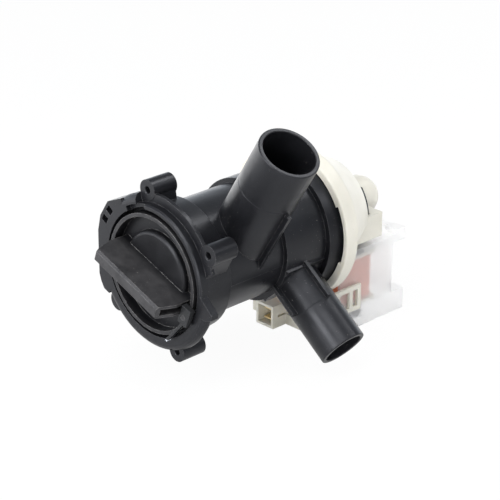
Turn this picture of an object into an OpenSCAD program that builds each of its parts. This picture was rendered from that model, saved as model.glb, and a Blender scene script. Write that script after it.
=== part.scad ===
// Washing-machine drain pump with a twist-out filter and a synchronous motor.
// Millimetres. The origin is the centre of the front collar's face. +Y runs along the
// pump axis to the motor, +X is right and +Z is up for someone facing the filter cap.

/* [Front collar] */
// Outside diameter of the collar's flange
collar_d = 83; // [78:0.5:92]
// Distance from the collar's face to the rear of its flange
collar_flange = 7; // [6:0.1:9]
// Radius of the rounded front edge of the flange
collar_round = 4; // [1:0.5:5]
// Outside diameter of the drum behind the flange, at its front
drum_d = 73.2; // [72:0.1:76]
// Outside diameter of the drum at its rear rim
drum_rear_d = 70; // [69:0.1:72]
// Depth of the drum from the collar's face to its rear rim
drum_depth = 22; // [18:0.5:30]
// Diameter of the recess that the cap sits in
bore_d = 68; // [66:0.5:69]
// Depth of the cap recess
bore_depth = 9; // [8.5:0.25:10]
// Pitch circle diameter of the four screw bosses
boss_pcd = 85.2; // [80:0.2:96]
// Outside diameter of a screw boss
boss_d = 11; // [8:0.5:14]
// Set-back of the boss faces behind the collar face
boss_setback = 4.3; // [2:0.1:6]
// Length of a screw boss
boss_len = 15; // [10:0.5:22]
// Diameter of the screw pilot hole
pilot_d = 3.6; // [2.5:0.1:5]
// Depth of the screw pilot hole
pilot_depth = 12; // [8:0.5:14]
// Angles of the bosses, seen from the front, from +X toward +Z
boss_angles = [99, 28.6, -72, -140]; // [-180:1:180]

/* [Filter chamber] */
// Outside diameter of the chamber tube
chamber_d = 61.2; // [58:0.2:66]
// Wall of the moulded housing
wall = 2.5; // [2:0.1:3.5]
// Distance of the volute's front wall from the collar face
volute_y = 63; // [58:0.5:80]

/* [Inlet spigot] */
// Outside diameter of the inlet spigot
inlet_d = 32.4; // [26:0.2:36]
// Wall of the inlet spigot
inlet_wall = 2.3; // [1.8:0.1:3]
// Gap between the inlet spigot and the volute's front wall
inlet_gap = 0.7; // [0.2:0.1:12]
// Angle of the inlet axis above horizontal
inlet_angle = 58; // [45:1:75]
// Sideways offset of the inlet axis from the pump axis
inlet_offset = 8; // [0:0.5:10]
// Length of the inlet from the pump axis to its rim
inlet_len = 83.6; // [75:0.2:110]
// Length of the inlet's hose seat, from its rim
inlet_hose = 26.5; // [18:0.5:40]
// Length of the inlet's full bore, from its rim
inlet_bore_len = 45; // [30:0.5:50]
// Diameter of the inlet's throat behind the full bore
inlet_throat_d = 27; // [18:0.1:27]
// Length of the rib under the inlet, from the pump axis
inlet_rib_len = 55; // [40:0.5:70]
// Height of the rib under the inlet
inlet_rib_h = 2.8; // [1:0.1:5]

/* [Outlet spigot] */
// Outside diameter of the outlet spigot
outlet_d = 25.8; // [20:0.2:26]
// Wall of the outlet spigot
outlet_wall = 2.3; // [1.8:0.1:3]
// Distance of the outlet axis behind the volute's front wall
outlet_setback = 14; // [13.5:0.1:16]
// Angle of the outlet axis below horizontal
outlet_angle = 37.5; // [25:0.5:50]
// Length of the outlet from the pump axis to its rim
outlet_len = 77; // [68:0.5:100]
// Length of the outlet's hose seat, from its rim
outlet_hose = 25; // [15:0.5:32]
// Distance of the outlet block's face from the pump axis
outlet_block = 32; // [30:0.5:40]
// Length of the two side ribs beyond the block
outlet_rib_len = 18; // [8:0.5:24]
// Height of the fin on the outlet's upper side over the tube
outlet_fin_h = 2.5; // [1:0.1:4]
// Length of that fin beyond the block
outlet_fin_len = 20; // [8:0.5:24]

/* [Volute] */
// Outside diameter of the volute drum
volute_d = 67; // [64:0.5:74]
// Length of the drum from its front wall to the rear flange
volute_len = 28.5; // [26:0.5:32]
// Diameter of the flange's front edge
flange_front_d = 73; // [70:0.5:76]
// Diameter of the flange's rear rim
flange_d = 76.5; // [74:0.5:82]
// Depth of the flange
flange_depth = 10.8; // [9:0.1:16]
// Diameter of the eye between the filter chamber and the volute
eye_d = 22; // [14:0.5:28]
// Height of a bayonet lug over the flange rim
lug_h = 1.8; // [1.2:0.1:3.5]
// Thickness of a bayonet lug
lug_t = 2; // [1.6:0.1:4]
// Angular width of a bayonet lug
lug_arc = 65; // [50:1:72]
// Angle at which a lug starts
lug_start = -38; // [-60:1:0]
// Angular width of a bayonet hook
hook_arc = 19; // [10:1:24]

/* [Motor flange and can] */
// Wall of the motor flange ring
ring_wall = 2.4; // [1.6:0.1:4]
// Depth of the ring behind the housing
ring_depth = 3.9; // [3.5:0.1:9]
// Thickness of the flange plate
plate_t = 3; // [2.5:0.1:4]
// Outside diameter of the rotor can
can_d = 23.8; // [22:0.2:28]
// Wall of the rotor can
can_wall = 1.5; // [1:0.1:1.8]
// Length of the can from the flange to its rounded end
can_len = 61; // [58:0.5:70]
// Diameter of the rotor shaft
shaft_d = 4; // [3:0.1:5]
// Length of the rotor magnet
magnet_len = 32; // [24:0.5:34]
// Diameter of a sleeve bearing
bearing_d = 9; // [8:0.1:10]
// Length of a sleeve bearing
bearing_len = 6; // [4:0.1:7]
// Outside diameter of a bearing's rubber seat
seat_d = 14; // [12:0.1:15]

/* [Impeller] */
// Diameter of the impeller
impeller_d = 50; // [36:0.5:56]
// Height of the vanes
vane_h = 14; // [8:0.5:16]
// Thickness of a vane
vane_t = 1.6; // [1:0.1:2.5]
// Number of vanes
vanes = 6; // [4:1:8]
// Angular width of the driving tooth and of the stop it meets
dog_arc = 50; // [30:1:60]

/* [Stator] */
// Thickness of the lamination stack
stack_t = 16; // [12:0.5:20]
// Distance of the stack's middle behind the motor flange face
stack_mid = 22.5; // [20:0.5:26]
// Width of a stator leg
leg_w = 10; // [8:0.5:12]
// Distance between the two leg centres
leg_pitch = 30; // [28:0.5:34]
// Height of the yoke bar under the coils
yoke_h = 8; // [6:0.5:10]
// Diameter of the hood's rear rim
hood_rear_d = 56.6; // [54:0.2:60]
// Length of the conical part of the hood
hood_len = 23.3; // [18:0.1:27]
// Length of the hood's side blocks behind the flange ring
hood_block_len = 34.6; // [28:0.1:40]
// Depth of the hood's box below the pump axis
hood_drop = 12; // [10:0.5:13]
// Wall of the hood
hood_wall = 1.8; // [1.2:0.1:2.2]

/* [Coils] */
// Distance of the coil cover's upper face below the pump axis
coil_top = 15.2; // [14.5:0.1:18]
// Gap between the motor flange ring and the coil cover
cover_gap = 2.6; // [0.4:0.1:5]
// Thickness of the coil cover's top plate
cover_top_t = 4.5; // [3:0.1:6]
// Clear height between the cover's top plate and its base
coil_h = 30; // [26:0.5:36]
// Height of the cover's base
cover_base_h = 12.3; // [11:0.1:16]
// Gap between a winding and the cover's side wall
coil_clear = 1.05; // [0.5:0.05:3]
// Length of the cover's plates along the pump axis
cover_len = 52; // [46:0.5:58]
// Length of the cover's walled box along the pump axis
cover_box_len = 42; // [38:0.5:46]
// Wall of the coil cover
cover_wall = 1.5; // [1:0.1:1.6]
// Wall of a bobbin
bobbin_wall = 1.2; // [0.8:0.1:1.6]
// Thickness of a bobbin flange
bobbin_flange = 2; // [1.2:0.1:2.5]
// Thickness of the winding's core under the outer layer
winding_t = 3; // [2:0.1:3.4]
// Diameter of the outer layer's wire
wire_d = 0.95; // [0.7:0.05:1]
// Loops in the outer layer of each winding
loops = 15; // [8:1:15]

/* [Terminals] */
// Width of the terminal socket
socket_w = 13; // [11:0.5:16]
// Height of the terminal socket
socket_h = 13.4; // [12:0.2:16]
// Length of the socket in front of the coil cover
socket_len = 21; // [18:0.5:24]
// Depth of the socket's mouth
socket_depth = 13; // [10:0.5:14]
// Wall of the socket
socket_wall = 1.5; // [1:0.1:2]
// Offset of the socket's middle from the pump axis
socket_x = -8.5; // [-12:0.5:-4]
// Width of a terminal tab
tab_w = 6.3; // [4.8:0.1:7]
// Thickness of a terminal tab
tab_t = 0.8; // [0.5:0.1:1]
// Distance between the two tabs
tab_pitch = 6; // [5.4:0.1:6.4]
// Height of the window frame beside the coil
window_h = 15; // [10:0.5:18]

/* [Filter] */
// Outside diameter of the cap's rim
cap_d = 63.8; // [60:0.2:65.5]
// Wall of the cap's rim
cap_rim_wall = 2; // [1.5:0.1:3]
// Depth of the recess behind the cap's rim
cap_recess = 6; // [4:0.5:6.4]
// Diameter of the raised hub on the cap
hub_d = 44; // [36:0.5:48]
// Height of the raised hub
hub_h = 3.5; // [2:0.1:4]
// Length of the grip's front edge
grip_len = 48; // [36:0.5:52]
// Thickness of the grip
grip_t = 7.4; // [6:0.1:9]
// Distance that the grip stands out of the collar face
grip_out = 17.5; // [12:0.5:22]
// Angle of the grip, seen from the front
grip_angle = -20.5; // [-45:0.5:45]
// Depth of the pocket in each end of the grip
grip_pocket = 13; // [6:0.5:16]
// Diameter of the plug behind the cap
plug_d = 51; // [46:0.5:52]
// Length of the plug
plug_len = 12; // [10:0.5:14]
// Length of the filter cage
cage_len = 36; // [30:0.5:40]
// Bars in the cage
cage_bars = 10; // [6:1:14]
// Width of a cage bar
bar_w = 3.2; // [2:0.1:4]

/* [Cap latch] */
// Angle of the latch's head, seen from the front
latch_angle = -26; // [-40:1:-24]
// Length of the spring finger
finger_len = 19; // [12:0.5:22]
// Thickness of the spring finger
finger_t = 1.3; // [1:0.1:2]
// Diameter of the pivot pin
latch_pin_d = 3; // [2.4:0.1:3.4]

/* [Fits] */
// Gap between parts that are fixed together
seat_gap = 0.05; // [0.02:0.01:0.2]
// Radial clearance of a turning fit
run_gap = 0.05; // [0.02:0.01:0.1]
// Gap between parts that pass each other
free_gap = 0.3; // [0.2:0.05:0.6]

/* [Hidden] */
$fn = 64;

// Housing
spigot_root = 0.1;
root_taper = 0.5;
rim_round = 0.6;
mouth_bevel = 0.3;
chamber_r = chamber_d / 2 - wall;
volute_r = volute_d / 2 - wall;
flange_y = volute_y + volute_len;
flange_end = flange_y + flange_depth;
lug_y = flange_end - lug_t - 0.3;
inlet_r = inlet_d / 2 - inlet_wall;
inlet_y = volute_y - inlet_d / 2 - spigot_root - inlet_gap;
outlet_r = outlet_d / 2 - outlet_wall;
outlet_y = volute_y + outlet_setback;
pocket_w = 4;
pocket_depth = 5;
pocket_r = collar_d / 2 - 1.1;
pocket_angles = [141.7, 151.4];
notch_depth = 2.4;
notch_len = 3;
notch_from = 97;
notch_to = 121;
gusset_t = 2.2;
block_edge = 0.9;
step_h = 0.3;
step_from = -10;
rim_t = 1.8;
lip_bevel = 0.8;
flange_taper = 1.6;
pilot_bevel = 0.4;
relief_r = pilot_d / 2 + 0.9;
fairing_turn = 17;

// Ends of the set-back part of the flange and of its rounded part
setback_arc = [15, 112];
round_arc = [107, 342];

// Side ear of the collar: angle and outset from the flange's radius
ear = [[123, -0.5], [138, 2.9], [152.5, 2.7], [164.5, 1.5], [176.8, 0.2], [197.3, 2.2],
    [202.8, 2.4], [208.4, 2], [212.8, -0.6]];
ear_depth = 11;

// Locating tab below the right boss, in the same way
locator = [[-1.3, -5.3], [-10.8, 3.6], [-14.1, 3.8], [-18, 0]];
locator_depth = 4.5;

// Motor
motor_y = flange_end + 0.2;
web_r = flange_d / 2 + lug_h + free_gap;
ring_r = web_r + ring_wall;
ring_end = motor_y + ring_depth;
spigot_r = volute_r - free_gap;
spigot_len = 6;
seal_w = 2.6;
seal_y = motor_y - spigot_len + 1.5;
hook_t = 1.7;
hook_setback = 0.2;
hook_clear = 1;
hook_y = lug_y - free_gap - hook_t;
can_r = can_d / 2 - can_wall;
can_end = motor_y + can_len;
can_cap = 4.5;
magnet_r = can_r - 0.6;
shaft_r = shaft_d / 2;
bearing_plate_t = 2;
lip_t = 3;
front_bearing_y = motor_y + lip_t - bearing_plate_t + 1.5;
magnet_y = front_bearing_y + bearing_len + 4;
rear_bearing_y = can_end - can_cap - bearing_len;

// Impeller, its lost-motion drive and the shaft that carries it
disc_t = 2;
disc_y = motor_y - 14;
hub_r = 8.5;
hub_end = motor_y - bearing_plate_t - 4;
nose_y = disc_y - vane_h;
nose_t = 3.5;
dog_h = 4;
dog_y = hub_end - dog_h - 0.2;
cavity_y = dog_y - 0.5;
cavity_r = hub_r - 2;
sleeve_r = shaft_r + 1.6;
shaft_front = nose_y + nose_t + free_gap;
shaft_end = rear_bearing_y + bearing_len;

// Stator
stack_y0 = motor_y + stack_mid - stack_t / 2;
stack_y1 = stack_y0 + stack_t;
pole_in = can_d / 2 + free_gap;
pole_out = hood_rear_d / 2 - hood_wall - 0.5;
pole_gap = 3;
pole_drop = coil_top - 1;
hood_y = ring_end + seat_gap;

// Coils
coil_y0 = ring_end + cover_gap;
coil_y = (stack_y0 + stack_y1) / 2;
plate_z = -coil_top - cover_top_t;
base_z = plate_z - coil_h;
floor_z = base_z - cover_base_h;
leg_x = leg_pitch / 2;
leg_z = base_z - 2.3;
bobbin_in = [leg_w + 2 * seat_gap, stack_t + 2 * seat_gap];
core_in = bobbin_in + [2, 2] * (bobbin_wall + seat_gap);
core_out = core_in + [2, 2] * winding_t;
core_round = 4;
coil_z0 = base_z + seat_gap + bobbin_flange;
coil_z1 = plate_z - seat_gap - bobbin_flange;

// Outer layer of a winding: a wire of six sides, 24 points a loop, with upright ends
wire_gap = 0.2;
wire_r = wire_d / 2;
wire_sides = 6;
loop_steps = 24;
path_round = core_round + wire_gap + wire_r;
path_half = core_out / 2 + [1, 1] * (wire_gap + wire_r);
box_x = leg_x + path_half.x + wire_r + coil_clear;
cover_x = box_x + cover_wall;
bobbin_out = [2 * (box_x - free_gap - leg_x), core_out.y + 4.6];
wire_z0 = coil_z0 + seat_gap + 2 * wire_d;
wire_z1 = coil_z1 - seat_gap - 2 * wire_d;
wire_pitch = (wire_z1 - wire_z0) / loops;

// Terminals
socket_y = coil_y0 - socket_len;
carrier_h = 6;
carrier_y = coil_y0 - 11;
carrier_end = coil_y0 - seat_gap;
frame_x = cover_x + seat_gap;
frame_t = 1.8;
frame_len = 15;
frame_z = floor_z + 12;
frame_bar = 2.6;
post_y = 6;
window_front = 1.5;

// Filter
cap_face = -0.6;
cap_floor = cap_face + cap_recess;
cap_back = bore_depth - 0.5;
plug_r = plug_d / 2;
plug_in = plug_r - 3;
plug_end = cap_back + plug_len;
oring_y = cap_back + 4.5;
oring_w = 2.6;
oring_in = plug_r - 1.2;
cage_r = plug_in - seat_gap;
cage_t = 2.2;
cage_end = plug_end + cage_len;
grip_mid = cap_face - 6.4;
grip_flare = 3;
grip_bevel = 1.1;
hub_round = 2;

// Latch
latch_t = 3.2;
latch_y = cap_face - free_gap - latch_t;
latch_head = [6.1, 10.4];
latch_wall = 1.2;
finger_turn = -112;
latch_pin_r = latch_pin_d / 2;
latch_r = cap_d / 2 - cap_rim_wall / 2;

// Shapes about the pump axis

module ycyl(r, y0, y1) {
    translate([0, y0, 0])
        rotate([-90, 0, 0])
            cylinder(r = r, h = y1 - y0);
}

module yring(r0, r1, y0, y1) {
    difference() {
        ycyl(r1, y0, y1);
        ycyl(r0, y0 - 1, y1 + 1);
    }
}

// Revolves an outline of [radius, y] points about the pump axis
module yrev(points) {
    rotate([-90, 0, 0])
        rotate_extrude()
            polygon(points);
}

// Ring sector between two angles, measured from +X toward +Z
module ysector(r0, r1, y0, y1, a0, a1) {
    translate([0, y0, 0])
        rotate([-90, 0, 0])
            rotate([0, 0, -a1])
                rotate_extrude(angle = a1 - a0)
                    translate([r0, 0])
                        square([r1 - r0, y1 - y0]);
}

// Places children at an angle and a radius about the pump axis
module at_angle(a, r, y = 0) {
    rotate([0, -a, 0])
        translate([r, y, 0])
            children();
}

// Extrudes an outline drawn in X and Z along +Y
module yextrude(y0, y1) {
    translate([0, y1, 0])
        rotate([90, 0, 0])
            linear_extrude(y1 - y0)
                children();
}

module xcyl(r, x0, x1) {
    translate([x0, 0, 0])
        rotate([0, 90, 0])
            cylinder(r = r, h = x1 - x0);
}

// Box between two corners
module span(a, b) {
    translate(a)
        cube(b - a);
}

// Rounded rectangle centred on the origin
module round_rect(size, r) {
    for (x = [-1, 1], y = [-1, 1])
        translate([x * (size.x / 2 - r), y * (size.y / 2 - r)])
            circle(r);
    square([size.x - 2 * r, size.y], center = true);
    square([size.x, size.y - 2 * r], center = true);
}

// Housing

module inlet_frame() {
    translate([0, inlet_y, 0])
        rotate([0, -inlet_angle, 0])
            translate([0, 0, -inlet_offset])
                children();
}

module outlet_frame() {
    translate([0, outlet_y, 0])
        rotate([0, outlet_angle, 0])
            children();
}

// Outline of points given by an angle and an outset from the flange, closed at an inner point
module rim_outline(points, inner) {
    polygon(concat([for (p = points) (collar_d / 2 + p[1]) * [cos(p[0]), sin(p[0])]], [inner]));
}

module collar() {
    r = collar_d / 2;
    front_r = drum_d / 2;
    rear_r = drum_rear_d / 2;
    arc = [for (i = [0:5]) [
        r - collar_round * (1 - sin(18 * i)),
        collar_round * (1 - cos(18 * i))]];
    yrev([[chamber_r, 0], [front_r - lip_bevel, 0], [front_r, lip_bevel],
        [front_r, boss_setback + 1], [rear_r, drum_depth], [rear_r - rim_t, drum_depth],
        [rear_r - rim_t, bore_depth + wall], [chamber_r, bore_depth + wall]]);
    ysector(rear_r - 0.4, r, boss_setback + 0.2, collar_flange - 0.4,
        setback_arc[0], setback_arc[1]);
    rotate([-90, 0, 0])
        rotate([0, 0, -round_arc[1]])
            rotate_extrude(angle = round_arc[1] - round_arc[0])
                polygon(concat([[rear_r - 0.6, 0]], arc, [[r - flange_taper, collar_flange],
                    [rear_r - 0.6, collar_flange]]));
    yextrude(0, ear_depth)
        rim_outline(ear, [-r / 2, 0]);
    yextrude(0, locator_depth)
        rim_outline(locator, [r / 2, -r / 4]);
    for (a = boss_angles)
        boss(a);
    fairing(boss_angles[1]);
}

// Screw boss with a web to the drum
module boss(a) {
    at_angle(a, boss_pcd / 2, boss_setback) {
        ycyl(boss_d / 2, 0, boss_len);
        span([drum_rear_d / 2 - 0.8 - boss_pcd / 2, 0.5, 0.6 - boss_d / 2],
            [0, boss_len - 0.8, boss_d / 2 - 0.6]);
    }
}

// Wedge from the right boss down to the drum
module fairing(a) {
    mid = boss_pcd / 2 * [cos(a), sin(a)];
    yextrude(boss_setback + 0.3, boss_setback + boss_len - 1.6)
        polygon([mid, mid + (boss_d / 2 - 0.3) * [cos(a - 65), sin(a - 65)],
            (drum_d / 2 - 0.2) * [cos(a - fairing_turn), sin(a - fairing_turn)],
            (drum_rear_d / 2 - 1) * [cos(a - 8), sin(a - 8)]]);
}

// Pilot hole of a boss, with a bevelled mouth and room in front of it
module pilot(a) {
    at_angle(a, boss_pcd / 2, boss_setback) {
        ycyl(pilot_d / 2, 0, pilot_depth);
        ycyl(relief_r, -boss_setback - 1, 0);
        yrev([[0, -1], [pilot_d / 2 + pilot_bevel + 1, -1], [pilot_d / 2, pilot_bevel],
            [0, pilot_bevel]]);
    }
}

// Spigot along +X: a slightly thicker root, a plain hose seat and a rounded rim
module spigot(r, length, hose) {
    root_r = r + spigot_root;
    rim = [for (i = [0:4]) [
        r - rim_round * (1 - cos(22.5 * i)),
        length - rim_round * (1 - sin(22.5 * i))]];
    rotate([0, 90, 0])
        rotate_extrude()
            polygon(concat([[0, 0], [root_r, 0], [root_r, length - hose - root_taper],
                [r, length - hose]], rim, [[0, length]]));
}

// Bore along +X up to a rim, with a bevelled mouth
module spigot_bore(r, from, length) {
    xcyl(r, from, length + 1);
    translate([length - mouth_bevel, 0, 0])
        rotate([0, 90, 0])
            cylinder(r1 = r, r2 = r + 2 * mouth_bevel, h = 2 * mouth_bevel);
}

module outlet_block() {
    half = outlet_d / 2 + block_edge;
    rib = half + gusset_t;
    span([0, -half, -half], [outlet_block, half, half]);
    span([0, -rib, -gusset_t / 2], [outlet_block + outlet_rib_len, rib, gusset_t / 2]);
    span([0, -gusset_t / 2, 0],
        [outlet_block + outlet_fin_len, gusset_t / 2, outlet_d / 2 + outlet_fin_h]);
}

module pump_housing() {
    color([0.13, 0.13, 0.14])
        difference() {
            union() {
                collar();
                ycyl(chamber_d / 2, bore_depth, volute_y + 1);
                ysector(chamber_r + 1, chamber_d / 2 + step_h, bore_depth + 1, volute_y + 1,
                    step_from, step_from + 180);
                ycyl(volute_d / 2, volute_y, flange_y + 1);
                yrev([[volute_r, flange_y], [flange_front_d / 2, flange_y],
                    [flange_d / 2, lug_y], [flange_d / 2, flange_end],
                    [volute_r, flange_end]]);
                for (k = [0:3])
                    ysector(flange_d / 2 - 1, flange_d / 2 + lug_h, lug_y, lug_y + lug_t,
                        lug_start + 90 * k, lug_start + lug_arc + 90 * k);
                inlet_frame() {
                    spigot(inlet_d / 2, inlet_len, inlet_hose);
                    span([0, -gusset_t / 2, -inlet_d / 2 - inlet_rib_h],
                        [inlet_rib_len, gusset_t / 2, 0]);
                }
                outlet_frame() {
                    outlet_block();
                    spigot(outlet_d / 2, outlet_len, outlet_hose);
                }
            }
            ycyl(bore_d / 2, -1, bore_depth);
            ycyl(chamber_r, 0, volute_y);
            ycyl(eye_d / 2, volute_y - 1, volute_y + wall + 1);
            ycyl(volute_r, volute_y + wall, flange_end + 1);
            inlet_frame() {
                xcyl(inlet_throat_d / 2, inlet_offset, inlet_len);
                spigot_bore(inlet_r, inlet_len - inlet_bore_len, inlet_len);
            }
            outlet_frame()
                spigot_bore(outlet_r, outlet_r, outlet_len);
            for (a = boss_angles)
                pilot(a);
            for (a = pocket_angles)
                at_angle(a, pocket_r)
                    span([-pocket_w / 2, -1, -pocket_w / 2],
                        [pocket_w / 2, pocket_depth, pocket_w / 2]);
            ysector(bore_d / 2 - 1, bore_d / 2 + notch_depth, -1, notch_len,
                notch_from, notch_to);
        }
}

// Motor flange, rotor can and seals

module motor_flange() {
    front = hook_y - hook_setback;
    dome_y = can_end - can_d / 2;
    color([0.90, 0.88, 0.80])
        difference() {
            union() {
                yrev([[0, motor_y], [web_r, motor_y], [web_r, front], [ring_r - 0.4, front],
                    [ring_r, front + 0.4], [ring_r, ring_end - 0.4], [ring_r - 0.4, ring_end],
                    [web_r, ring_end], [web_r, motor_y + plate_t], [0, motor_y + plate_t]]);
                yring(spigot_r - wall, spigot_r, motor_y - spigot_len, motor_y + 1);
                ycyl(can_d / 2, motor_y + 1, dome_y);
                intersection() {
                    translate([0, dome_y, 0])
                        sphere(can_d / 2);
                    ycyl(can_d, dome_y - 1, can_end - 0.8);
                }
                for (k = [0:3])
                    bayonet_hook(lug_start + 90 * k);
            }
            ycyl(can_r, motor_y - 1, rear_bearing_y - 2);
            ycyl(seat_d / 2 + seat_gap, rear_bearing_y - 3, shaft_end + seat_gap);
            yring(spigot_r - seal_w / 2, spigot_r + 1, seal_y, seal_y + seal_w);
        }
}

// Hook of the ring, which covers the gap before a bayonet lug and grips the lug's end
module bayonet_hook(a) {
    gap_arc = 90 - lug_arc - hook_clear;
    ysector(flange_d / 2 + free_gap, web_r + 1, hook_y, hook_y + hook_t,
        a - gap_arc, a + hook_arc);
}

module volute_seal() {
    color([0.10, 0.10, 0.10])
        yring(spigot_r - seal_w / 2 + seat_gap, volute_r - seat_gap,
            seal_y + seat_gap, seal_y + seal_w - seat_gap);
}

module bearing_plate() {
    plug_to = front_bearing_y + bearing_len + 0.5;
    color([0.86, 0.84, 0.76])
        difference() {
            union() {
                ycyl(can_r + 3, motor_y - bearing_plate_t, motor_y - seat_gap);
                ycyl(can_r - seat_gap, motor_y - 1, plug_to);
            }
            ycyl(shaft_r + 1, motor_y - bearing_plate_t - 1, plug_to + 1);
            ycyl(seat_d / 2 - 1, motor_y - bearing_plate_t - 1,
                motor_y - bearing_plate_t + lip_t);
            ycyl(seat_d / 2 + seat_gap, front_bearing_y - seat_gap, plug_to + 1);
        }
}

module shaft_seal() {
    y0 = motor_y - bearing_plate_t + seat_gap;
    color([0.15, 0.15, 0.16])
        yring(shaft_r + run_gap, seat_d / 2 - 1 - seat_gap, y0, y0 + lip_t - 2 * seat_gap);
}

module sleeve_bearing(y) {
    color([0.55, 0.45, 0.30])
        yring(shaft_r + run_gap, bearing_d / 2, y, y + bearing_len);
}

module bearing_seat(y) {
    color([0.14, 0.14, 0.14])
        yring(bearing_d / 2 + seat_gap, seat_d / 2, y, y + bearing_len);
}

module front_bearing() {
    sleeve_bearing(front_bearing_y);
}

module front_bearing_seat() {
    bearing_seat(front_bearing_y);
}

module rear_bearing() {
    sleeve_bearing(rear_bearing_y);
}

module rear_bearing_seat() {
    bearing_seat(rear_bearing_y);
}

// Rotor and impeller

module rotor_shaft() {
    color([0.75, 0.76, 0.78])
        ycyl(shaft_r, shaft_front, shaft_end);
}

module rotor_magnet() {
    color([0.20, 0.20, 0.22])
        difference() {
            ycyl(magnet_r, magnet_y, magnet_y + magnet_len);
            ycyl(shaft_r + seat_gap, magnet_y - 1, magnet_y + magnet_len + 1);
        }
}

// Sleeve on the shaft whose tooth turns the impeller after some free travel
module rotor_driver() {
    color([0.80, 0.79, 0.74])
        difference() {
            union() {
                ycyl(sleeve_r, dog_y, hub_end + 1.5);
                ysector(sleeve_r - 0.5, cavity_r - free_gap, dog_y, dog_y + dog_h,
                    90 - dog_arc / 2, 90 + dog_arc / 2);
            }
            ycyl(shaft_r + seat_gap, dog_y - 1, hub_end + 3);
        }
}

module impeller() {
    color([0.82, 0.82, 0.80])
        difference() {
            union() {
                ycyl(hub_r, nose_y, hub_end);
                ycyl(impeller_d / 2, disc_y, disc_y + disc_t);
                for (k = [0:vanes - 1])
                    at_angle(360 * k / vanes, 0)
                        span([hub_r - 1, nose_y + 1, -vane_t / 2],
                            [impeller_d / 2, disc_y + 1, vane_t / 2]);
            }
            ycyl(shaft_r + run_gap, nose_y + nose_t, hub_end);
            difference() {
                ycyl(cavity_r, cavity_y, hub_end + 1);
                ysector(sleeve_r + free_gap, cavity_r + 1, cavity_y - 1, hub_end + 2,
                    -90 - dog_arc / 2, -90 + dog_arc / 2);
            }
        }
}

// Stator

// Ivory hood: a cone over the poles, with a box and two side blocks below it
module stator_hood() {
    front_r = ring_r - 1.2;
    rear_r = hood_rear_d / 2;
    hood_end = hood_y + hood_len;
    block_end = hood_y + hood_block_len;
    half = rear_r + 0.2;
    inner = pole_out + free_gap;
    far = 2 * ring_r;
    color([0.91, 0.89, 0.82])
        difference() {
            union() {
                intersection() {
                    yrev([[0, hood_y], [front_r, hood_y], [front_r - 0.6, hood_y + 2],
                        [rear_r, hood_end], [0, hood_end]]);
                    span([-far, hood_y - 1, -hood_wall], [far, hood_end + 1, far]);
                }
                span([-half, hood_y + 0.4, -hood_drop], [half, block_end, 2]);
            }
            intersection() {
                yrev([[0, hood_y - 1], [front_r - hood_wall, hood_y - 1],
                    [front_r - hood_wall - 0.6, hood_y + 2], [rear_r - hood_wall, hood_end],
                    [rear_r - hood_wall, hood_end + 2], [0, hood_end + 2]]);
                span([-far, hood_y - 2, 0], [far, hood_end + 1, far]);
            }
            span([-inner, hood_y - 1, -hood_drop - 1], [inner, stack_y1 + 1, 3]);
            span([-can_d / 2 - 3, hood_end, -hood_drop - 1], [can_d / 2 + 3, block_end + 1, 9]);
        }
}

// One half of the lamination stack: a leg and the pole that it carries
module core_half(side) {
    color([0.25, 0.25, 0.27])
        yextrude(stack_y0, stack_y1)
            scale([side, 1])
                difference() {
                    union() {
                        translate([leg_x - leg_w / 2, leg_z])
                            square([leg_w, -leg_z - pole_drop + 4]);
                        intersection() {
                            circle(pole_out);
                            translate([pole_gap / 2, -pole_drop])
                                square([pole_out, pole_drop + 16]);
                        }
                    }
                    circle(pole_in);
                }
}

module core_left() {
    core_half(-1);
}

module core_right() {
    core_half(1);
}

module stator_yoke() {
    x = leg_x + leg_w / 2;
    color([0.25, 0.25, 0.27])
        span([-x, stack_y0, leg_z - seat_gap - yoke_h], [x, stack_y1, leg_z - seat_gap]);
}

// Coils

module bobbin(x) {
    color([0.92, 0.90, 0.84])
        translate([x, coil_y, 0])
            difference() {
                union() {
                    translate([0, 0, base_z + seat_gap])
                        linear_extrude(bobbin_flange)
                            round_rect(bobbin_out, 2);
                    translate([0, 0, coil_z1])
                        linear_extrude(bobbin_flange)
                            round_rect(bobbin_out, 2);
                    translate([0, 0, coil_z0 - 1])
                        linear_extrude(coil_z1 - coil_z0 + 2)
                            square(core_in - [2, 2] * seat_gap, center = true);
                }
                translate([0, 0, base_z - 1])
                    linear_extrude(coil_h + 2)
                        square(bobbin_in, center = true);
            }
}

module winding_core(x) {
    color([0.62, 0.26, 0.16])
        translate([x, coil_y, coil_z0 + seat_gap])
            linear_extrude(coil_z1 - coil_z0 - 2 * seat_gap)
                difference() {
                    round_rect(core_out, core_round);
                    square(core_in, center = true);
                }
}

// Outward direction of the wire's path at a step
function path_turn(i) =
    let (corner = floor((i % loop_steps) / 6))
    90 * corner + 18 * (i % 6);

// Middle of the wire at a step, where each corner is an arc of six points
function path_at(i) =
    let (corner = floor((i % loop_steps) / 6),
        a = path_turn(i),
        sx = corner == 0 || corner == 3 ? 1 : -1,
        sy = corner < 2 ? 1 : -1)
    [sx * (path_half.x - path_round) + path_round * cos(a),
        sy * (path_half.y - path_round) + path_round * sin(a),
        wire_z0 + wire_pitch * i / loop_steps];

function along(i) = [-sin(path_turn(i)), cos(path_turn(i)), 0];
function outward(i) = [cos(path_turn(i)), sin(path_turn(i)), 0];

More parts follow.
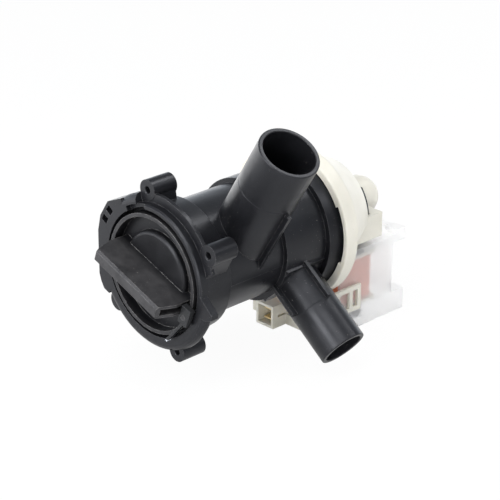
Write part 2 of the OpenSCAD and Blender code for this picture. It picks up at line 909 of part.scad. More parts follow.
// A ring of the wire: its middle, its outward axis and its upper axis
wire_last = loops * loop_steps;
up = [0, 0, 1];
wire_start = [for (b = [0, 30, 60])
    [path_at(0) - wire_d * (cos(b) * along(0) + (1 - sin(b)) * up),
        outward(0), sin(b) * up - cos(b) * along(0)]];
wire_end = [for (b = [30, 60, 90])
    [path_at(wire_last) + wire_d * (sin(b) * along(wire_last) + (1 - cos(b)) * up),
        outward(wire_last), cos(b) * up - sin(b) * along(wire_last)]];
wire_rings = concat(
    [[wire_start[0][0] - wire_d * up, wire_start[0][1], wire_start[0][2]]],
    wire_start,
    [for (i = [0:wire_last]) [path_at(i), outward(i), up]],
    wire_end,
    [[wire_end[2][0] + wire_d * up, wire_end[2][1], wire_end[2][2]]]);

least_gap = min([for (i = [0:wire_last - loop_steps], j = [i + 18:min(i + 30, wire_last)])
    norm(path_at(i) - path_at(j))]) - wire_d;
echo(str("winding: least gap between loops ", least_gap, " mm"));

module winding(x) {
    n = len(wire_rings);
    k = wire_sides;
    points = [for (ring = wire_rings, j = [0:k - 1])
        ring[0] + wire_r * (cos(360 * j / k) * ring[1] + sin(360 * j / k) * ring[2])];
    sides = [for (i = [0:n - 2], j = [0:k - 1], half = [0, 1])
        let (a = i * k + j, b = i * k + (j + 1) % k)
        half == 0 ? [a, b, a + k] : [b, b + k, a + k]];
    start = [for (j = [1:k - 2]) [0, j + 1, j]];
    end = [for (j = [1:k - 2]) [(n - 1) * k, (n - 1) * k + j, (n - 1) * k + j + 1]];
    color([0.72, 0.33, 0.20])
        translate([x, coil_y, 0])
            polyhedron(points, concat(sides, start, end));
}

module bobbin_left() {
    bobbin(-leg_x);
}

module bobbin_right() {
    bobbin(leg_x);
}

module winding_core_left() {
    winding_core(-leg_x);
}

module winding_core_right() {
    winding_core(leg_x);
}

module winding_left() {
    winding(-leg_x);
}

module winding_right() {
    winding(leg_x);
}

// Clear cover: two plates with a walled box between them, open at the front
module coil_cover() {
    box_end = coil_y0 + cover_box_len;
    end = coil_y0 + cover_len;
    lip = 2.4;
    yoke_x = leg_x + leg_w / 2 + free_gap;
    color([0.88, 0.90, 0.92, 0.35])
        difference() {
            union() {
                span([-cover_x, coil_y0, plate_z], [cover_x, end, -coil_top]);
                span([-cover_x, end - lip, plate_z], [cover_x, end, -coil_top + lip / 2]);
                for (side = [-1, 1])
                    span([side * (cover_x - 4) - 4, end - 3 * lip, plate_z],
                        [side * (cover_x - 4) + 4, end, -coil_top + lip]);
                span([-cover_x, coil_y0, floor_z], [cover_x, end, base_z]);
                span([-cover_x, coil_y0, base_z - 1], [cover_x, box_end, plate_z + 1]);
            }
            span([-cover_x + cover_wall, coil_y0 - 1, base_z],
                [cover_x - cover_wall, box_end - cover_wall, plate_z]);
            for (side = [-1, 1])
                span([side * leg_x - leg_w / 2 - seat_gap, stack_y0 - seat_gap, plate_z - 1],
                    [side * leg_x + leg_w / 2 + seat_gap, stack_y1 + seat_gap, 0]);
            span([-yoke_x, stack_y0 - seat_gap, leg_z - yoke_h - 2 * seat_gap],
                [yoke_x, stack_y1 + seat_gap, base_z + 1]);
        }
}

// Terminals

module tab_stack(grow) {
    mid = floor_z + socket_h / 2;
    for (z = [-1, 1] * tab_pitch / 2)
        span([socket_x - tab_w / 2 - grow, socket_y + 3, mid + z - tab_t / 2 - grow],
            [socket_x + tab_w / 2 + grow, carrier_end - 1 + grow, mid + z + tab_t / 2 + grow]);
}

// Ivory carrier: a bar under the flange with the socket and the window frame
module terminal_carrier() {
    x0 = socket_x - socket_w / 2;
    x1 = socket_x + socket_w / 2;
    top = floor_z + socket_h;
    frame_top = frame_z + window_h;
    color([0.91, 0.89, 0.82])
        difference() {
            union() {
                span([-cover_x, carrier_y, floor_z],
                    [frame_x + frame_t, carrier_end, floor_z + carrier_h]);
                span([x0, socket_y, floor_z], [x1, carrier_end, top]);
                span([frame_x, carrier_y, floor_z], [frame_x + frame_t, carrier_end, frame_top]);
                span([frame_x, carrier_end - 1, frame_z],
                    [frame_x + frame_t, coil_y0 + frame_len, frame_top]);
            }
            span([x0 + socket_wall, socket_y - 1, floor_z + socket_wall],
                [x1 - socket_wall, socket_y + socket_depth, top - socket_wall]);
            difference() {
                span([frame_x - 1, coil_y0 - window_front, frame_z + frame_bar],
                    [frame_x + frame_t + 1, coil_y0 + frame_len - frame_bar,
                        frame_top - frame_bar]);
                span([frame_x - 2, coil_y0 + post_y, frame_z],
                    [frame_x + frame_t + 2, coil_y0 + post_y + frame_bar, frame_top]);
            }
            span([x1 - socket_wall - 1, socket_y + 4, top - socket_h / 2 - 0.6],
                [x1 + 1, socket_y + socket_depth - 2, top - socket_h / 2 + 0.6]);
            tab_stack(seat_gap);
        }
}

module terminal_tabs() {
    color([0.72, 0.62, 0.40])
        tab_stack(0);
}

// Filter

// Places children beside the grip's end, with X along the grip
module at_latch() {
    translate([latch_r * cos(latch_angle), 0, latch_r * sin(latch_angle)])
        rotate([0, -grip_angle, 0])
            children();
}

// Raised disc under the grip, with a rounded edge
module hub() {
    r = hub_d / 2;
    edge = [for (i = [0:4]) [
        r - hub_round * (1 - sin(22.5 * i)),
        cap_floor - hub_h + hub_round * (1 - cos(22.5 * i))]];
    yrev(concat([[0, cap_floor - hub_h]], edge, [[r, cap_floor + 1], [0, cap_floor + 1]]));
}

module grip() {
    half = grip_len / 2;
    at_angle(grip_angle, 0)
        difference() {
            intersection() {
                translate([0, 0, -grip_t / 2])
                    linear_extrude(grip_t)
                        polygon([[-half, -grip_out], [half, -grip_out],
                            [half + grip_flare, grip_mid], [half + grip_flare, cap_floor + 1],
                            [-half - grip_flare, cap_floor + 1], [-half - grip_flare, grip_mid]]);
                rotate([90, 0, 90])
                    translate([0, 0, -grip_len])
                        linear_extrude(2 * grip_len)
                            polygon([[-grip_out, grip_bevel - grip_t / 2],
                                [grip_bevel - grip_out, -grip_t / 2 - 0.1],
                                [cap_floor + 2, -grip_t / 2 - 0.1],
                                [cap_floor + 2, grip_t / 2 + 0.1],
                                [grip_bevel - grip_out, grip_t / 2 + 0.1],
                                [-grip_out, grip_t / 2 - grip_bevel]]);
            }
            for (side = [-1, 1])
                translate([side * (half + grip_flare - grip_pocket / 2), 0, 0])
                    span([-grip_pocket / 2 - 1, -grip_out + wall, -grip_t / 2 + 1.8],
                        [grip_pocket / 2 + 1, cap_floor - hub_h, grip_t / 2 - 1.8]);
        }
}

module filter_cap() {
    rim_r = cap_d / 2;
    color([0.14, 0.14, 0.15])
        difference() {
            union() {
                yring(rim_r - cap_rim_wall, rim_r, cap_face, cap_back);
                ycyl(rim_r - 1, cap_floor, cap_back);
                hub();
                grip();
                ycyl(plug_r, cap_back - 1, plug_end);
                at_latch() {
                    ycyl(latch_pin_r + 1, cap_face, cap_floor + 1);
                    ycyl(latch_pin_r, latch_y, cap_face + 1);
                }
            }
            ycyl(plug_in, cap_back + 1.5, plug_end + 1);
            yring(oring_in, plug_r + 1, oring_y, oring_y + oring_w);
        }
}

module filter_seal() {
    color([0.30, 0.30, 0.31])
        yring(oring_in + run_gap, chamber_r - free_gap, oring_y + run_gap,
            oring_y + oring_w - run_gap);
}

module filter_cage() {
    band = 4;
    color([0.16, 0.16, 0.17]) {
        yring(cage_r - cage_t, cage_r, plug_end - 6, plug_end + band);
        yring(cage_r - cage_t, cage_r, cage_end - band, cage_end);
        yring(cage_r / 2, cage_r - 1, cage_end - cage_t, cage_end);
        for (k = [0:cage_bars - 1])
            at_angle(360 * k / cage_bars, 0)
                span([cage_r - cage_t, plug_end + band - 1, -bar_w / 2],
                    [cage_r - 0.3, cage_end - band + 1, bar_w / 2]);
    }
}

// Latch beside the grip: a head on a pin, with a spring finger over the collar
module cap_latch() {
    inner = latch_pin_r + run_gap + latch_wall;
    color([0.30, 0.30, 0.31])
        at_latch()
            difference() {
                union() {
                    span([-inner, latch_y, -latch_head.y + 6.4],
                        [latch_head.x - inner, latch_y + latch_t, 6.4]);
                    rotate([0, -finger_turn, 0])
                        span([latch_pin_r + 1, latch_y + 0.3, inner - finger_t - 0.4],
                            [latch_pin_r + 1.5 + finger_len, latch_y + latch_t - 0.3, inner - 0.4]);
                }
                ycyl(latch_pin_r + run_gap, latch_y - 1, latch_y + latch_t + 1);
            }
}

pump_housing();
motor_flange();
volute_seal();
bearing_plate();
front_bearing();
front_bearing_seat();
rear_bearing();
rear_bearing_seat();
shaft_seal();
rotor_shaft();
rotor_magnet();
rotor_driver();
impeller();
stator_hood();
core_left();
core_right();
stator_yoke();
bobbin_left();
bobbin_right();
winding_core_left();
winding_core_right();
winding_left();
winding_right();
coil_cover();
terminal_carrier();
terminal_tabs();
filter_cap();
filter_seal();
filter_cage();
cap_latch();
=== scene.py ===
import math

import bpy
from mathutils import Matrix, Vector


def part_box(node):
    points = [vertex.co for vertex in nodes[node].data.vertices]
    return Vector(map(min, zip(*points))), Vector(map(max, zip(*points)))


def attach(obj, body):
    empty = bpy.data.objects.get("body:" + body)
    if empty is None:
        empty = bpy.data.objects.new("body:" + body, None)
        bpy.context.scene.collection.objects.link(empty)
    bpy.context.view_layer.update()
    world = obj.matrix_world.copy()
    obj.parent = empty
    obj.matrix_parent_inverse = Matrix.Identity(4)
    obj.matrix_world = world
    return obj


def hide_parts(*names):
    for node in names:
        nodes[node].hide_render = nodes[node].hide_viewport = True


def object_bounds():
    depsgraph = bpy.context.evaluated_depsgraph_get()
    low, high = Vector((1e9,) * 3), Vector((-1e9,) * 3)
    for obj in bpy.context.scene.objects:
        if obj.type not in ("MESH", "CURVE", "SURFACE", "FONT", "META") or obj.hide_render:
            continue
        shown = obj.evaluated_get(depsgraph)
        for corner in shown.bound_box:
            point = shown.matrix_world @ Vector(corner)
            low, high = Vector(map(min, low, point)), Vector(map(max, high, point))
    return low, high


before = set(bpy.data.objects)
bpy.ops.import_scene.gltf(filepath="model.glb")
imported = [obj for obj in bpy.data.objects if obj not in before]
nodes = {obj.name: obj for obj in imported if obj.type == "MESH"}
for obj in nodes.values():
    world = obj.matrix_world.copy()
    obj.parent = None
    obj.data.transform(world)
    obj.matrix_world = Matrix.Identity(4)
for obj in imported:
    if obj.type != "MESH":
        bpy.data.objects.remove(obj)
cad_low, cad_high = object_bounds()
scene = bpy.context.scene
MM = 0.001

# Handling marks: how far they reach from the front of the cap. Painted highlight: how far the pale glint
# reaches from the end of the latch finger
CAP_FRONT = min(v.co.y for v in nodes["filter_cap"].data.vertices)
HANDLED_TO = CAP_FRONT + 14 * MM
UNTOUCHED_FROM = CAP_FRONT + 20 * MM
FINGER_END = min(v.co.z for v in nodes["cap_latch"].data.vertices)
GLINT_FULL_TO = FINGER_END + 0.7 * MM
GLINT_GONE_FROM = FINGER_END + 1.4 * MM

# Wire of the fine windings
WIRE_R = 0.34 * MM
WIRE_SIDES = 6
LOOPS = 34
LOOP_STEPS = 40
LOOP_CORNER = 4.6 * MM
END_ROOM = 3 * WIRE_R

# Floor: its share of plain white, and its strength in reflections, below the part and further out
FLOOR_SIDE = 8
FLOOR_DROP = 0.5 * MM
FLOOR_WHITE = 0.95
MIRRORED_NEAR = 0.72
MIRRORED_FAR = 2.2
MIRRORED_REACH = 0.45

# Studio: where the bright sweep lies, the spans over which it fades in, and the room's light
SWEEP_SIDE = (-0.88, 0.47, 0.0)
SWEEP_SPAN = (-0.35, 0.75)
DOWN = (0, 0, -1)
DOWN_SPAN = (-0.45, -0.08)
ROOM_DIM = 0.30
ROOM_BRIGHT = 1.9
LAMP_TARGET = Vector((0.01, 0.07, 0.0))

# Camera, solved from the photograph
PHOTO_SIDE_PX = 500
FOCAL_PX = 1703.73
SENSOR_MM = 36
CLIP_START = 0.05
CAMERA_PLACE = (0.5942, -0.5044, 0.3544)
CAMERA_RIGHT = Vector((0.6942, 0.7198, 0.0))
CAMERA_UP = Vector((-0.2892, 0.2789, 0.9157))

# Materials


def emptied(owner):
    """The node tree of a material or world, cleared."""
    owner.use_nodes = True
    owner.node_tree.nodes.clear()
    return owner.node_tree


def new_material(name):
    mat = bpy.data.materials.new(name)
    tree = emptied(mat)
    out = tree.nodes.new("ShaderNodeOutputMaterial")
    shader = tree.nodes.new("ShaderNodeBsdfPrincipled")
    tree.links.new(shader.outputs["BSDF"], out.inputs["Surface"])
    return mat, tree, shader


def object_coords(tree, scale=(1, 1, 1)):
    coords = tree.nodes.new("ShaderNodeTexCoord")
    mapping = tree.nodes.new("ShaderNodeMapping")
    mapping.inputs["Scale"].default_value = scale
    tree.links.new(coords.outputs["Object"], mapping.inputs["Vector"])
    return mapping.outputs["Vector"]


def noise(tree, vector, scale, detail):
    tex = tree.nodes.new("ShaderNodeTexNoise")
    tex.inputs["Scale"].default_value = scale
    tex.inputs["Detail"].default_value = detail
    tex.inputs["Roughness"].default_value = 0.55
    tree.links.new(vector, tex.inputs["Vector"])
    return tex.outputs["Fac"]


def ramp(tree, value, *stops):
    """Colour that runs from one stop to the other, each given by its position and colour."""
    node = tree.nodes.new("ShaderNodeValToRGB")
    for element, (position, colour) in zip(node.color_ramp.elements, stops):
        element.position = position
        element.color = (*colour, 1)
    tree.links.new(value, node.inputs["Fac"])
    return node.outputs["Color"]


def to_range(tree, value, low, high, from_low=0.3, from_high=0.7):
    node = tree.nodes.new("ShaderNodeMapRange")
    node.inputs["From Min"].default_value = from_low
    node.inputs["From Max"].default_value = from_high
    node.inputs["To Min"].default_value = low
    node.inputs["To Max"].default_value = high
    tree.links.new(value, node.inputs["Value"])
    return node.outputs["Result"]


def calculated(tree, operation, first, second):
    node = tree.nodes.new("ShaderNodeMath")
    node.operation = operation
    for socket, value in zip(node.inputs, (first, second)):
        if isinstance(value, float):
            socket.default_value = value
        else:
            tree.links.new(value, socket)
    return node.outputs[0]


def dot(tree, vector, other):
    """Dot product of a vector with another, which may be a plain tuple."""
    node = tree.nodes.new("ShaderNodeVectorMath")
    node.operation = "DOT_PRODUCT"
    tree.links.new(vector, node.inputs[0])
    if isinstance(other, tuple):
        node.inputs[1].default_value = other
    else:
        tree.links.new(other, node.inputs[1])
    return node.outputs["Value"]


def painted(tree, base, share, colour):
    """The base colour with a share of a plain colour laid over it."""
    node = tree.nodes.new("ShaderNodeMix")
    node.data_type = "RGBA"
    under, over = node.inputs[6:8]
    tree.links.new(share, node.inputs["Factor"])
    tree.links.new(base, under)
    over.default_value = (*colour, 1)
    return node.outputs[2]


def bump(tree, height, strength, distance, normal=None):
    node = tree.nodes.new("ShaderNodeBump")
    node.inputs["Strength"].default_value = strength
    node.inputs["Distance"].default_value = distance
    tree.links.new(height, node.inputs["Height"])
    if normal is not None:
        tree.links.new(normal, node.inputs["Normal"])
    return node.outputs["Normal"]


def soft_edges(tree, radius):
    node = tree.nodes.new("ShaderNodeBevel")
    node.samples = 4
    node.inputs["Radius"].default_value = radius
    return node.outputs["Normal"]


def edge_mask(tree, radius):
    """Nought on flat faces, rising to one along sharp edges, and the rounded normal it comes from."""
    rounded = soft_edges(tree, radius)
    geometry = tree.nodes.new("ShaderNodeNewGeometry")
    flatness = dot(tree, rounded, geometry.outputs["Normal"])
    return to_range(tree, flatness, 1.0, 0.0, from_low=0.80, from_high=0.985), rounded


def along(tree, vec, axis, first, last):
    """One up to a place on an axis of the piece, falling to nought at another."""
    place = tree.nodes.new("ShaderNodeSeparateXYZ")
    tree.links.new(vec, place.inputs["Vector"])
    return to_range(tree, place.outputs[axis], 1.0, 0.0, first, last)


def handled(tree, vec):
    """Share of dust and rubbing: on the grip and hub that stand forward on the cap, in blotches."""
    forward = along(tree, vec, "Y", HANDLED_TO, UNTOUCHED_FROM)
    blotches = to_range(tree, noise(tree, vec, scale=130, detail=5), 0.35, 1.0)
    return calculated(tree, "MULTIPLY", forward, blotches)


def tip_glint_share(tree, vec):
    """Share of the painted highlight, a pale glint, at the end of the latch finger."""
    return along(tree, vec, "Z", GLINT_FULL_TO, GLINT_GONE_FROM)


def moulded(name, dark, light, rough, edge_wear_and_highlight, dust, grain=0.25, edge=0.45 * MM, mark_and_glint_share=None, mark_and_glint_colour=None):
    """Moulded plastic: uneven tone, fine grain, lightened edges that are partly rubbed wear and partly
    painted highlight, an optional marked area (real handling marks on the cap, a painted highlight at the
    latch finger's end) and specks of dust.
    """
    mat, tree, shader = new_material(name)
    vec = object_coords(tree)
    colour = ramp(tree, noise(tree, vec, scale=55, detail=4), (0.3, dark), (0.72, light))
    if mark_and_glint_share:
        # Marked area: real handling marks on the cap, a painted highlight (pale glint) at the latch
        # finger's end
        colour = painted(tree, colour, mark_and_glint_share(tree, vec), mark_and_glint_colour)
    edges, rounded = edge_mask(tree, edge)
    uneven = noise(tree, vec, scale=320, detail=4)
    patches = to_range(tree, uneven, 0.0, 0.9, from_low=0.36, from_high=0.60)
    # Edges lightened in patches: partly rubbed wear, partly a painted highlight along edges that catch the
    # light
    colour = painted(tree, colour, calculated(tree, "MULTIPLY", edges, patches), edge_wear_and_highlight)
    grit = noise(tree, vec, scale=1250, detail=1)
    specks = to_range(tree, grit, 0.0, 0.8, from_low=0.735, from_high=0.775)
    clouds = noise(tree, vec, scale=38, detail=2)
    sparse = to_range(tree, clouds, 0.0, 1.0, from_low=0.46, from_high=0.62)
    colour = painted(tree, colour, calculated(tree, "MULTIPLY", specks, sparse), dust)
    tree.links.new(colour, shader.inputs["Base Color"])
    smears = noise(tree, object_coords(tree, (1, 0.35, 1)), scale=95, detail=5)
    tree.links.new(to_range(tree, smears, rough - 0.07, rough + 0.09), shader.inputs["Roughness"])
    waves = noise(tree, vec, scale=70, detail=2)
    shallow = bump(tree, waves, strength=0.10, distance=0.6 * MM, normal=rounded)
    fine = noise(tree, vec, scale=2400, detail=2)
    tree.links.new(bump(tree, fine, grain, distance=0.04 * MM, normal=shallow), shader.inputs["Normal"])
    return mat, shader


black, black_shader = moulded(
    "black_plastic", dark=(0.0066, 0.0068, 0.0082), light=(0.0116, 0.0118, 0.0138), rough=0.34,
    edge_wear_and_highlight=(0.105, 0.103, 0.104), dust=(0.22, 0.21, 0.20))
cap_black, cap_shader = moulded(
    "cap_plastic", dark=(0.0042, 0.0042, 0.0050), light=(0.0072, 0.0072, 0.0084), rough=0.40,
    edge_wear_and_highlight=(0.240, 0.232, 0.224), dust=(0.20, 0.19, 0.18), edge=0.6 * MM,
    mark_and_glint_share=handled, mark_and_glint_colour=(0.050, 0.0485, 0.050))
latch_grey, latch_shader = moulded(
    "latch_plastic", dark=(0.013, 0.0135, 0.0145), light=(0.021, 0.0215, 0.0225), rough=0.36,
    edge_wear_and_highlight=(0.090, 0.091, 0.095), dust=(0.22, 0.21, 0.20),
    # Painted highlight: a pale bluish glint at the end of the latch finger
    mark_and_glint_share=tip_glint_share, mark_and_glint_colour=(0.52, 0.54, 0.58))
for dull in (black_shader, cap_shader, latch_shader):
    dull.inputs["Specular IOR Level"].default_value = 0.38
    dull.inputs["Specular Tint"].default_value = (0.91, 0.93, 1.0, 1)
ivory, ivory_shader = moulded(
    "ivory_plastic", dark=(0.665, 0.640, 0.560), light=(0.745, 0.715, 0.630), rough=0.40,
    edge_wear_and_highlight=(0.77, 0.76, 0.70), dust=(0.48, 0.46, 0.38), grain=0.10)
ivory_shader.inputs["Subsurface Weight"].default_value = 0.15
ivory_shader.inputs["Subsurface Radius"].default_value = (0.004, 0.004, 0.003)
ivory_shader.inputs["Subsurface Scale"].default_value = 0.6
rubber, _ = moulded(
    "rubber", dark=(0.008, 0.008, 0.008), light=(0.016, 0.016, 0.016), rough=0.60,
    edge_wear_and_highlight=(0.03, 0.03, 0.03), dust=(0.10, 0.10, 0.10), grain=0.35)
drive, _ = moulded(
    "drive_plastic", dark=(0.50, 0.50, 0.47), light=(0.58, 0.58, 0.55), rough=0.45,
    edge_wear_and_highlight=(0.62, 0.62, 0.60), dust=(0.35, 0.34, 0.32), grain=0.15)


def metal(name, dark, light, rough, stretch):
    """Bare metal with fine marks, drawn out along the axes whose stretch is small."""
    mat, tree, shader = new_material(name)
    shader.inputs["Metallic"].default_value = 1.0
    marks = noise(tree, object_coords(tree, stretch), scale=900, detail=3)
    tree.links.new(ramp(tree, marks, (0.3, dark), (0.7, light)), shader.inputs["Base Color"])
    tree.links.new(to_range(tree, marks, rough - 0.08, rough + 0.1), shader.inputs["Roughness"])
    relief = bump(tree, marks, strength=0.15, distance=0.02 * MM, normal=soft_edges(tree, 0.2 * MM))
    tree.links.new(relief, shader.inputs["Normal"])
    return mat


bright_tab = metal(
    "bright_tab", dark=(0.72, 0.55, 0.26), light=(0.88, 0.71, 0.40), rough=0.42, stretch=(1, 0.06, 1))
ground_steel = metal(
    "ground_steel", dark=(0.50, 0.50, 0.52), light=(0.66, 0.66, 0.68), rough=0.25, stretch=(0.08, 1, 0.08))
bronze = metal(
    "sintered_bronze", dark=(0.34, 0.22, 0.11), light=(0.48, 0.33, 0.17), rough=0.45, stretch=(1, 1, 1))
magnet = metal(
    "ferrite", dark=(0.05, 0.05, 0.055), light=(0.09, 0.09, 0.095), rough=0.5, stretch=(1, 1, 1))


def laminations():
    """Stacked steel sheets: a dark joint about every millimetre along the pump axis."""
    mat, tree, shader = new_material("laminations")
    shader.inputs["Metallic"].default_value = 0.85
    wave = tree.nodes.new("ShaderNodeTexWave")
    wave.bands_direction = "Y"
    wave.inputs["Scale"].default_value = 320
    wave.inputs["Distortion"].default_value = 0.4
    tree.links.new(object_coords(tree), wave.inputs["Vector"])
    bands = wave.outputs["Fac"]
    tone = ramp(tree, bands, (0.15, (0.03, 0.03, 0.032)), (0.6, (0.15, 0.15, 0.16)))
    tree.links.new(tone, shader.inputs["Base Color"])
    shader.inputs["Roughness"].default_value = 0.45
    tree.links.new(bump(tree, bands, strength=0.6, distance=0.05 * MM), shader.inputs["Normal"])
    return mat


def copper():
    """Enamelled copper wire, uneven from turn to turn."""
    mat, tree, shader = new_material("enamelled_copper")
    uneven = noise(tree, object_coords(tree, (1, 1, 6)), scale=260, detail=2)
    tone = ramp(tree, uneven, (0.3, (0.66, 0.19, 0.10)), (0.7, (0.86, 0.31, 0.17)))
    tree.links.new(tone, shader.inputs["Base Color"])
    shader.inputs["Metallic"].default_value = 0.35
    tree.links.new(to_range(tree, uneven, 0.38, 0.5), shader.inputs["Roughness"])
    shader.inputs["Coat Weight"].default_value = 0.25
    shader.inputs["Coat Roughness"].default_value = 0.3
    return mat


def clear_plastic():
    """Clear moulding gone milky, with faint flow marks and a matt skin."""
    mat, tree, shader = new_material("clear_plastic")
    shader.inputs["Transmission Weight"].default_value = 0.80
    shader.inputs["IOR"].default_value = 1.15
    flow = noise(tree, object_coords(tree, (1, 0.4, 1)), scale=60, detail=4)
    tone = ramp(tree, flow, (0.3, (0.95, 0.95, 0.95)), (0.7, (0.98, 0.98, 0.98)))
    tree.links.new(tone, shader.inputs["Base Color"])
    tree.links.new(to_range(tree, flow, 0.42, 0.50), shader.inputs["Roughness"])
    tree.links.new(soft_edges(tree, 0.25 * MM), shader.inputs["Normal"])
    return mat


sheets = laminations()
wire = copper()
clear = clear_plastic()

LOOKS = {
    black: ["pump_housing"],
    cap_black: ["filter_cap", "filter_cage"],
    latch_grey: ["cap_latch"],
    ivory: ["motor_flange", "bearing_plate", "stator_hood", "terminal_carrier",
            "bobbin_left", "bobbin_right"],
    rubber: ["volute_seal", "front_bearing_seat", "rear_bearing_seat", "shaft_seal", "filter_seal"],
    drive: ["rotor_driver", "impeller"],
    bronze: ["front_bearing", "rear_bearing"],
    ground_steel: ["rotor_shaft"],
    magnet: ["rotor_magnet"],
    sheets: ["core_left", "core_right", "stator_yoke"],
    wire: ["winding_core_left", "winding_core_right", "winding_left", "winding_right"],
    clear: ["coil_cover"],
    bright_tab: ["terminal_tabs"],
}
for mat, names in LOOKS.items():
    for name in names:
        nodes[name].data.materials.clear()
        nodes[name].data.materials.append(mat)

# Pieces


def add_mesh(name, verts, faces, mat, body):
    mesh = bpy.data.meshes.new(name)
    mesh.from_pydata(verts, [], faces)
    mesh.validate()
    mesh.polygons.foreach_set("use_smooth", [True] * len(mesh.polygons))
    obj = bpy.data.objects.new(name, mesh)
    scene.collection.objects.link(obj)
    mesh.materials.append(mat)
    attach(obj, body)
    return obj


def winding(name, node):
    """Outer layer of fine wire, wound in one unbroken spiral in the space of the CAD layer."""
    low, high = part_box(node)
    mid = (low + high) / 2
    inset = WIRE_R + LOOP_CORNER
    reach = Vector(((high.x - low.x) / 2 - inset, (high.y - low.y) / 2 - inset))
    first_z, last_z = low.z + END_ROOM, high.z - END_ROOM
    corner_steps = LOOP_STEPS // 4
    count = LOOPS * LOOP_STEPS
    verts, faces = [], []
    for i in range(count + 1):
        corner, part = divmod(i % LOOP_STEPS, corner_steps)
        turn = math.radians(90 * corner + 90 * part / (corner_steps - 1))
        side_x = 1 if corner in (0, 3) else -1
        side_y = 1 if corner < 2 else -1
        out = Vector((math.cos(turn), math.sin(turn), 0))
        centre = Vector((mid.x + side_x * reach.x, mid.y + side_y * reach.y, 0)) + out * LOOP_CORNER
        centre.z = first_z + (last_z - first_z) * i / count
        for j in range(WIRE_SIDES):
            around = math.tau * j / WIRE_SIDES
            rise = Vector((0, 0, WIRE_R * math.sin(around)))
            verts.append(centre + out * (WIRE_R * math.cos(around)) + rise)
    for i in range(count):
        for j in range(WIRE_SIDES):
            a, b = i * WIRE_SIDES + j, i * WIRE_SIDES + (j + 1) % WIRE_SIDES
            faces.append((a, a + WIRE_SIDES, b + WIRE_SIDES, b))
    faces.append(tuple(range(WIRE_SIDES)))
    faces.append(tuple(count * WIRE_SIDES + j for j in reversed(range(WIRE_SIDES))))
    obj = add_mesh(name, verts, faces, wire, "pump")
    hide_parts(node)


winding("fine_winding_left", "winding_left")
winding("fine_winding_right", "winding_right")

# Stage, light and camera


def stage_plane(name, size, z):
    mesh = bpy.data.meshes.new(name)
    s = size / 2
    mesh.from_pydata([(-s, -s, z), (s, -s, z), (s, s, z), (-s, s, z)], [], [(0, 1, 2, 3)])
    obj = bpy.data.objects.new(name, mesh)
    scene.collection.objects.link(obj)
    return obj


def seen_directly(tree):
    """One for camera and transmission rays, otherwise nought, and the light path it comes from."""
    path = tree.nodes.new("ShaderNodeLightPath")
    camera_ray, clear_ray = path.outputs["Is Camera Ray"], path.outputs["Is Transmission Ray"]
    return calculated(tree, "MAXIMUM", camera_ray, clear_ray), path


def mix_out(tree, kind, share, first, second):
    """Output of a material or world: the first shader with a share of the second."""
    out = tree.nodes.new(kind)
    mix = tree.nodes.new("ShaderNodeMixShader")
    tree.links.new(share, mix.inputs["Fac"])
    tree.links.new(first.outputs[0], mix.inputs[1])
    tree.links.new(second.outputs[0], mix.inputs[2])
    tree.links.new(mix.outputs[0], out.inputs["Surface"])


def pale_floor():
    """White paint that the camera sees nearly at full white, with the object's shadow left in it."""
    mat = bpy.data.materials.new("pale_floor")
    tree = emptied(mat)
    paint = tree.nodes.new("ShaderNodeBsdfDiffuse")
    paint.inputs["Color"].default_value = (0.92, 0.92, 0.92, 1)
    white = tree.nodes.new("ShaderNodeEmission")
    white.inputs["Color"].default_value = (1, 1, 1, 1)
    direct, path = seen_directly(tree)
    glossy = path.outputs["Is Glossy Ray"]
    sweepward = dot(tree, object_coords(tree), SWEEP_SIDE)
    strength = to_range(tree, sweepward, MIRRORED_NEAR, MIRRORED_FAR, 0.0, MIRRORED_REACH)
    mirrored = calculated(tree, "MULTIPLY", glossy, strength)
    tree.links.new(calculated(tree, "MAXIMUM", direct, mirrored), white.inputs["Strength"])
    clean = calculated(tree, "MAXIMUM", direct, glossy)
    share = calculated(tree, "MULTIPLY", clean, FLOOR_WHITE)
    mix_out(tree, "ShaderNodeOutputMaterial", share, paint, white)
    return mat


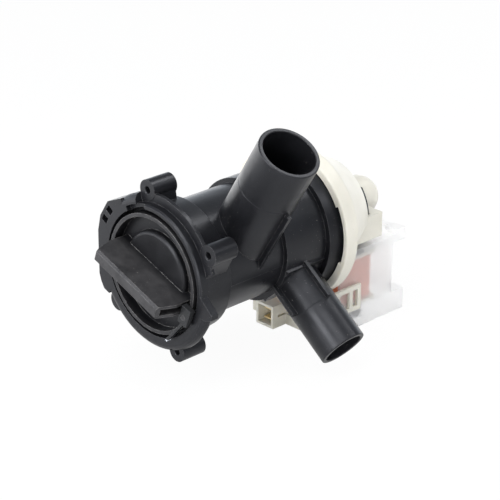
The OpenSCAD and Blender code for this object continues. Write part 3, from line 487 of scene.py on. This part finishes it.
def studio_world():
    """Plain white to look at. As light, a bright sweep low behind the part that fades to a dim room."""
    world = bpy.data.worlds.new("studio")
    tree = emptied(world)
    room = tree.nodes.new("ShaderNodeBackground")
    room.inputs["Color"].default_value = (0.86, 0.92, 1.0, 1)
    white = tree.nodes.new("ShaderNodeBackground")
    white.inputs["Color"].default_value = (1, 1, 1, 1)
    white.inputs["Strength"].default_value = 1.0
    direction = tree.nodes.new("ShaderNodeTexCoord").outputs["Generated"]
    behind = to_range(tree, dot(tree, direction, SWEEP_SIDE), 0.0, 1.0, *SWEEP_SPAN)
    low = to_range(tree, dot(tree, direction, DOWN), 0.0, 1.0, *DOWN_SPAN)
    sweep = calculated(tree, "MULTIPLY", behind, low)
    strength = to_range(tree, sweep, ROOM_DIM, ROOM_BRIGHT, from_low=0.0, from_high=1.0)
    tree.links.new(strength, room.inputs["Strength"])
    direct, _ = seen_directly(tree)
    mix_out(tree, "ShaderNodeOutputWorld", direct, room, white)
    return world


floor = stage_plane("floor", FLOOR_SIDE, cad_low.z - FLOOR_DROP)
floor.data.materials.append(pale_floor())
scene.world = studio_world()


def softbox(name, place, size, power):
    """Rectangular lamp turned to the part, which doesn't show through the clear cover."""
    light = bpy.data.lights.new(name, "AREA")
    light.shape = "RECTANGLE"
    light.size, light.size_y = size
    light.energy = power
    obj = bpy.data.objects.new(name, light)
    obj.location = place
    obj.rotation_euler = (LAMP_TARGET - Vector(place)).to_track_quat("-Z", "Y").to_euler()
    obj.visible_transmission = False
    scene.collection.objects.link(obj)


softbox("key", place=(0.05, -1.15, 0.62), size=(0.6, 0.6), power=10)
softbox("low", place=(-0.55, -1.0, 0.12), size=(0.8, 0.5), power=5.2)
softbox("fill", place=(0.9, 0.55, 0.85), size=(0.6, 0.6), power=2.5)
softbox("back", place=(0.17, 0.8, 0.95), size=(0.45, 0.45), power=3.5)
softbox("right", place=(0.85, -0.75, 0.12), size=(0.5, 0.4), power=3.5)
softbox("top", place=(0.2, -0.35, 1.05), size=(0.9, 0.9), power=9.5)

camera = bpy.data.cameras.new("camera")
camera.sensor_width = SENSOR_MM
camera.lens = SENSOR_MM * FOCAL_PX / PHOTO_SIDE_PX
camera.clip_start = CLIP_START
camera_obj = bpy.data.objects.new("camera", camera)
camera_back = CAMERA_RIGHT.cross(CAMERA_UP)
camera_turn = Matrix((CAMERA_RIGHT, CAMERA_UP, camera_back)).transposed().to_4x4()
camera_obj.matrix_world = Matrix.Translation(CAMERA_PLACE) @ camera_turn
scene.collection.objects.link(camera_obj)
scene.camera = camera_obj

scene.view_settings.view_transform = "Standard"
